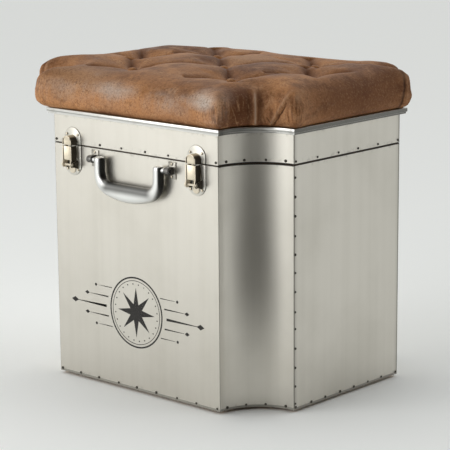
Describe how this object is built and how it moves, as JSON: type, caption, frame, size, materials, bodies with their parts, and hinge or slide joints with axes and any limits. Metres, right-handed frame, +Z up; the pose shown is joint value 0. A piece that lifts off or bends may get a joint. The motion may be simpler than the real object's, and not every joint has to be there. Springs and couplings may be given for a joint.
{
  "type": "storage ottoman",
  "caption": "Storage ottoman built as a small trunk: metal-clad case with scooped corners, hinged lid with a tufted leather cushion, front draw latches and a swinging carry handle.",
  "frame": {"origin": "on the floor under the middle of the case", "axes": "+X to the right of someone facing the front, -Y to the front with the latches and handle, +Z up"},
  "size_m": [0.5084, 0.4244, 0.485],
  "materials": {
    "sheet_metal": "satin sheet with faint vertical streaks and light scuffs",
    "rim_metal": "worn bright",
    "plywood": "sanded, unfinished",
    "nickelled_brass": "aged nickel over brass, dark in the recesses",
    "handle_metal": "polished casting",
    "stay_steel": "zinc plated",
    "glide_plastic": "matt black",
    "foam": "open cell foam",
    "leather": "waxed, distressed, pulled up pale on the ridges"
  },
  "bodies": {
    "case": {"base_panel": "plywood", "case_front_panel": "plywood", "case_back_panel": "plywood", "case_left_panel": "plywood", "case_right_panel": "plywood", "case_corner_front_left": "plywood", "case_corner_front_right": "plywood", "case_corner_back_left": "plywood", "case_corner_back_right": "plywood", "case_front_cladding": "sheet_metal", "case_back_cladding": "sheet_metal", "case_left_cladding": "sheet_metal", "case_right_cladding": "sheet_metal", "foot_glides": "glide_plastic", "latch_bases": "nickelled_brass", "latch_pins": "nickelled_brass", "handle_brackets": "nickelled_brass", "hinge_case_leaves": "nickelled_brass", "hinge_pins": "nickelled_brass", "stay_case_bracket": "stay_steel"},
    "lid": {"lid_board": "plywood", "lid_front_rail": "plywood", "lid_back_rail": "plywood", "lid_left_rail": "plywood", "lid_right_rail": "plywood", "lid_corner_front_left": "plywood", "lid_corner_front_right": "plywood", "lid_corner_back_left": "plywood", "lid_corner_back_right": "plywood", "lid_front_cladding": "sheet_metal", "lid_back_cladding": "sheet_metal", "lid_left_cladding": "sheet_metal", "lid_right_cladding": "sheet_metal", "rim_moulding": "rim_metal", "seat_foam": "foam", "leather_cover": "leather", "tuft_buttons": "leather", "latch_keepers": "nickelled_brass", "hinge_lid_leaves": "nickelled_brass", "stay_lid_bracket": "stay_steel"},
    "latch_left": {"latch_lever_left": "nickelled_brass"},
    "latch_right": {"latch_lever_right": "nickelled_brass"},
    "handle": {"carry_handle": "handle_metal"},
    "stay_lower": {"stay_lower_arm": "stay_steel"},
    "stay_upper": {"stay_upper_arm": "stay_steel"}
  },
  "joints": [
    {"name": "lid_hinge", "type": "hinge", "parent": "case", "child": "lid", "pos_m": [0, 0.2005, 0.3614], "axis": [-1, 0, 0], "range_deg": [0, 100]},
    {"name": "latch_left_pivot", "type": "hinge", "parent": "case", "child": "latch_left", "pos_m": [-0.126, -0.208, 0.3324], "axis": [1, 0, 0], "range_deg": [0, 165]},
    {"name": "latch_right_pivot", "type": "hinge", "parent": "case", "child": "latch_right", "pos_m": [0.126, -0.208, 0.3324], "axis": [1, 0, 0], "range_deg": [0, 165]},
    {"name": "handle_swing", "type": "hinge", "parent": "case", "child": "handle", "pos_m": [0, -0.2072, 0.3459], "axis": [-1, 0, 0], "range_deg": [0, 170]},
    {"name": "stay_lower_pivot", "type": "hinge", "parent": "case", "child": "stay_lower", "pos_m": [0.2251, 0.06, 0.303], "axis": [-1, 0, 0], "range_deg": [0, 100]},
    {"name": "stay_upper_pivot", "type": "hinge", "parent": "lid", "child": "stay_upper", "pos_m": [0.2226, 0.085, 0.383], "axis": [-1, 0, 0], "range_deg": [-100, 0]}
  ],
  "couplings": [
    {"joint": "stay_lower_pivot", "follows": "lid_hinge", "ratio": 1},
    {"joint": "stay_upper_pivot", "follows": "lid_hinge", "ratio": -1}
  ]
}
